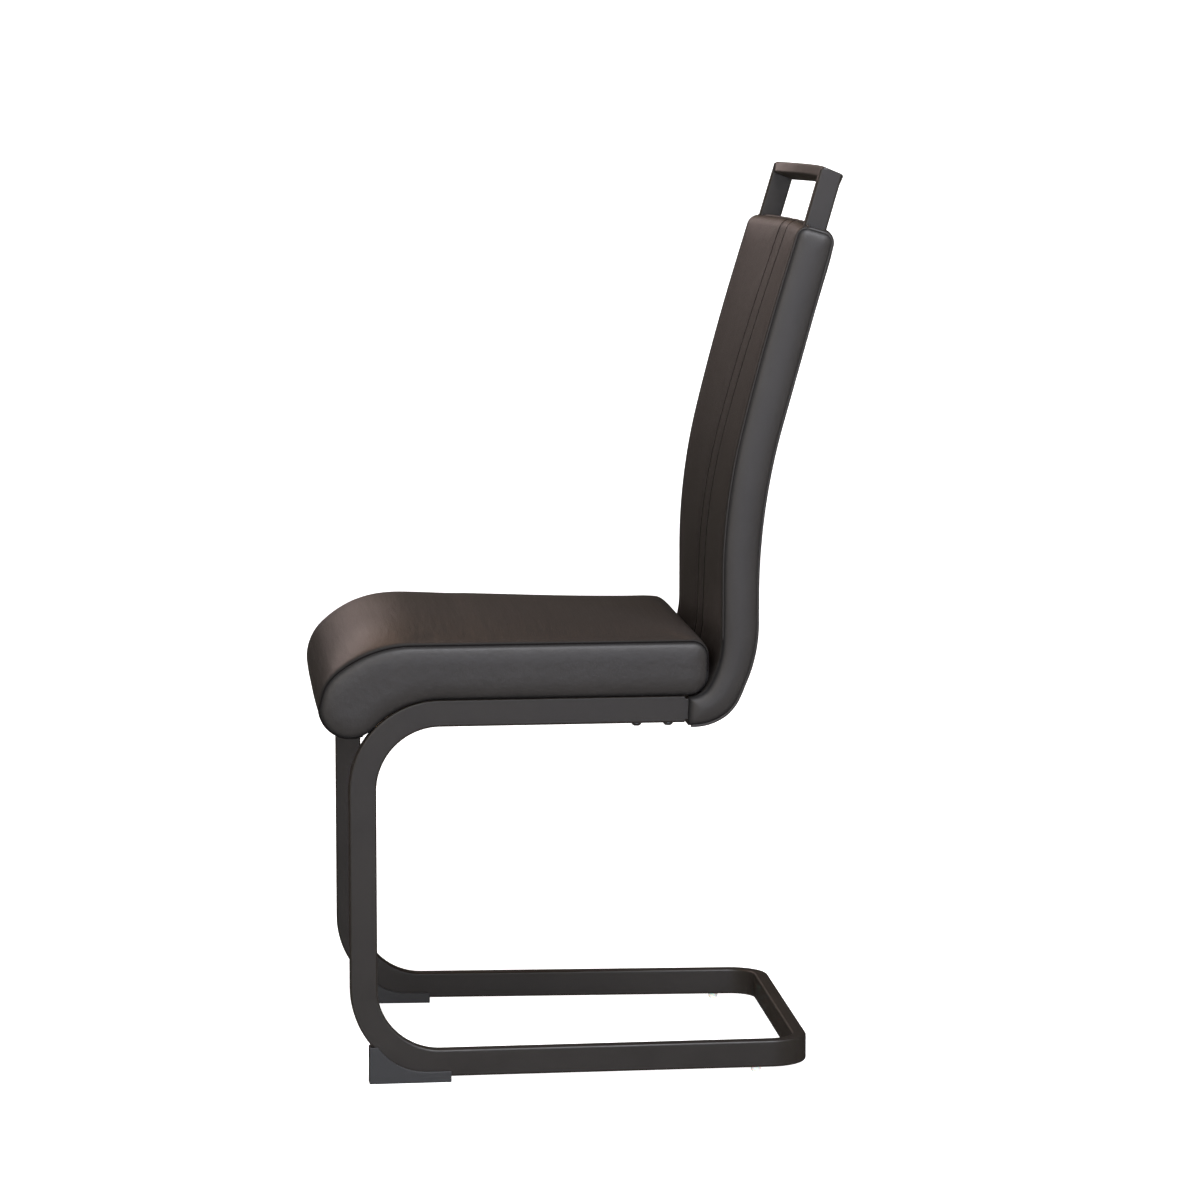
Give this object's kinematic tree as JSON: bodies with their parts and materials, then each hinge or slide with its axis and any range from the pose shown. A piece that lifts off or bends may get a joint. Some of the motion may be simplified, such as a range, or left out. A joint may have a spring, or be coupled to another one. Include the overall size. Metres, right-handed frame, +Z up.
{
  "type": "cantilever dining chair",
  "caption": "Cantilever dining chair with a bent steel tube frame, padded seat and curved padded back, and a carrying handle above the back.",
  "frame": {"origin": "on the floor, in the middle of the chair's box", "axes": "+Z up, -Y is the front that a sitter faces, +X is the sitter's left"},
  "size_m": [0.4572, 0.5881, 0.9998],
  "materials": {
    "black_steel": "fine-textured matt black powder coat",
    "zinc_fasteners": "zinc plated",
    "plywood": "raw plywood",
    "foam": "open-cell foam",
    "imitation_leather": "fine-grained matt black imitation leather",
    "piping": "sewn piping of the same imitation leather",
    "lining_cloth": "black non-woven cloth",
    "bare_steel": "plain steel tube",
    "black_plastic": "moulded black polypropylene",
    "clear_plastic": "pale translucent plastic"
  },
  "bodies": {
    "root": {"back_board": "plywood", "back_board_screws": "zinc_fasteners", "back_cross_tube_lower": "bare_steel", "back_cross_tube_upper": "bare_steel", "back_foot_foam": "foam", "back_front_cover_left": "imitation_leather", "back_front_cover_middle": "imitation_leather", "back_front_cover_right": "imitation_leather", "back_front_foam": "foam", "back_rear_cover": "imitation_leather", "back_rear_foam": "foam", "back_side_cover_left": "imitation_leather", "back_side_cover_right": "imitation_leather", "back_upright_left": "black_steel", "back_upright_right": "black_steel", "back_welt_left": "piping", "back_welt_right": "piping", "front_foot_left": "black_plastic", "front_foot_right": "black_plastic", "front_foot_screws": "zinc_fasteners", "front_seat_cross_tube": "black_steel", "handle_bar": "black_steel", "rear_floor_tube": "black_steel", "rear_glide_left": "clear_plastic", "rear_glide_right": "clear_plastic", "rear_seat_cross_tube": "black_steel", "seat_board": "plywood", "seat_bolts": "zinc_fasteners", "seat_bottom_cloth": "lining_cloth", "seat_foam": "foam", "seat_side_cover_left": "imitation_leather", "seat_side_cover_right": "imitation_leather", "seat_tee_nuts": "zinc_fasteners", "seat_top_cover": "imitation_leather", "seat_washers": "zinc_fasteners", "seat_welt_left": "piping", "seat_welt_right": "piping", "side_tube_left": "black_steel", "side_tube_right": "black_steel", "upright_screws": "zinc_fasteners"}
  },
  "joints": []
}
